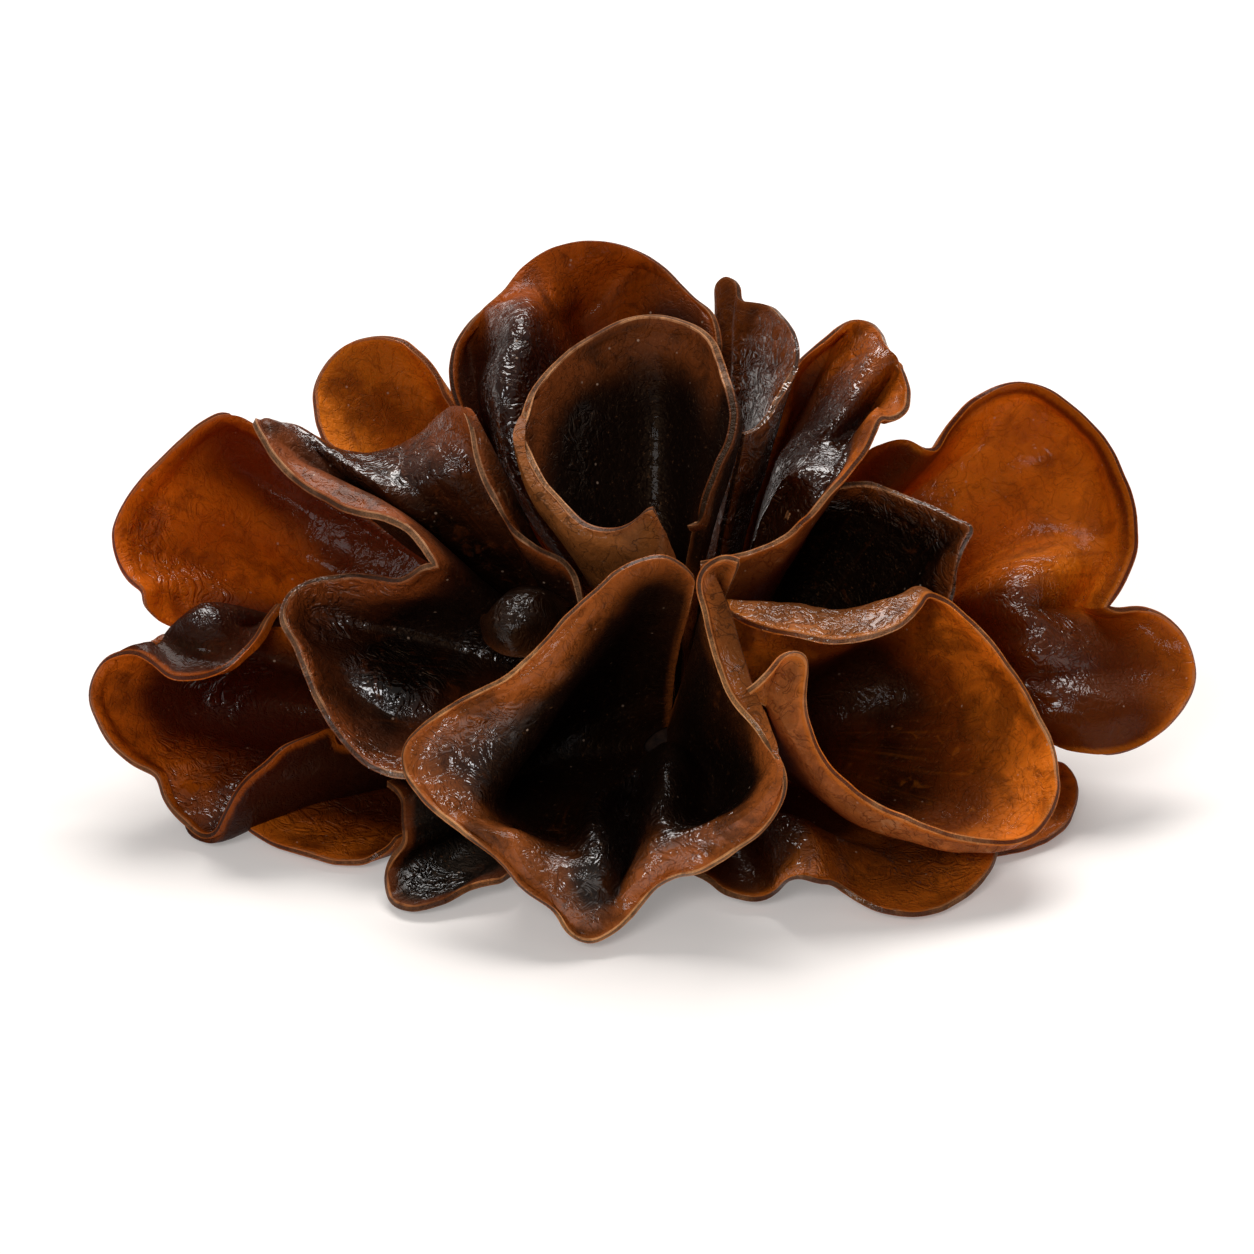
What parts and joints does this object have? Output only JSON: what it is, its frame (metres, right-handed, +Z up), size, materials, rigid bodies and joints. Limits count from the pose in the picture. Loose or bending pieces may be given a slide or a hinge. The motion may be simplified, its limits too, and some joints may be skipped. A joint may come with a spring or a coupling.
{
  "type": "wood ear mushroom",
  "caption": "Clump of thin, wavy, cup-shaped gelatinous mushroom ears spreading from one knotty root, cut off flat below so that it stands.",
  "frame": {"origin": "centre of the flat cut under the root", "axes": "+Z up, -Y towards the viewer of the picture, +X to the viewer's right"},
  "size_m": [0.133, 0.0998, 0.0535],
  "materials": {
    "ear_brown": "wet, gelatinous, translucent dark brown, satin to glossy",
    "ear_amber": "wet, gelatinous, translucent amber brown, satin to glossy",
    "knot": "tough, dull dark brown"
  },
  "bodies": {
    "root": {"knot": "knot", "ear_top_cup": "ear_brown", "ear_back_fan": "ear_amber", "ear_bud": "ear_brown", "ear_upper_right": "ear_brown", "ear_pocket": "ear_brown", "ear_far_right": "ear_amber", "ear_front_right": "ear_brown", "ear_front": "ear_brown", "ear_left_ruffle": "ear_brown", "ear_far_left": "ear_amber", "ear_low_left": "ear_amber", "ear_under_left": "ear_amber", "ear_small_front": "ear_brown", "ear_low_right": "ear_brown", "ear_under_right": "ear_amber", "ear_back_left": "ear_amber", "ear_inner_knob": "ear_brown", "ear_rear_mid": "ear_amber", "ear_rear_left": "ear_amber", "ear_rear_right": "ear_amber"}
  },
  "joints": []
}
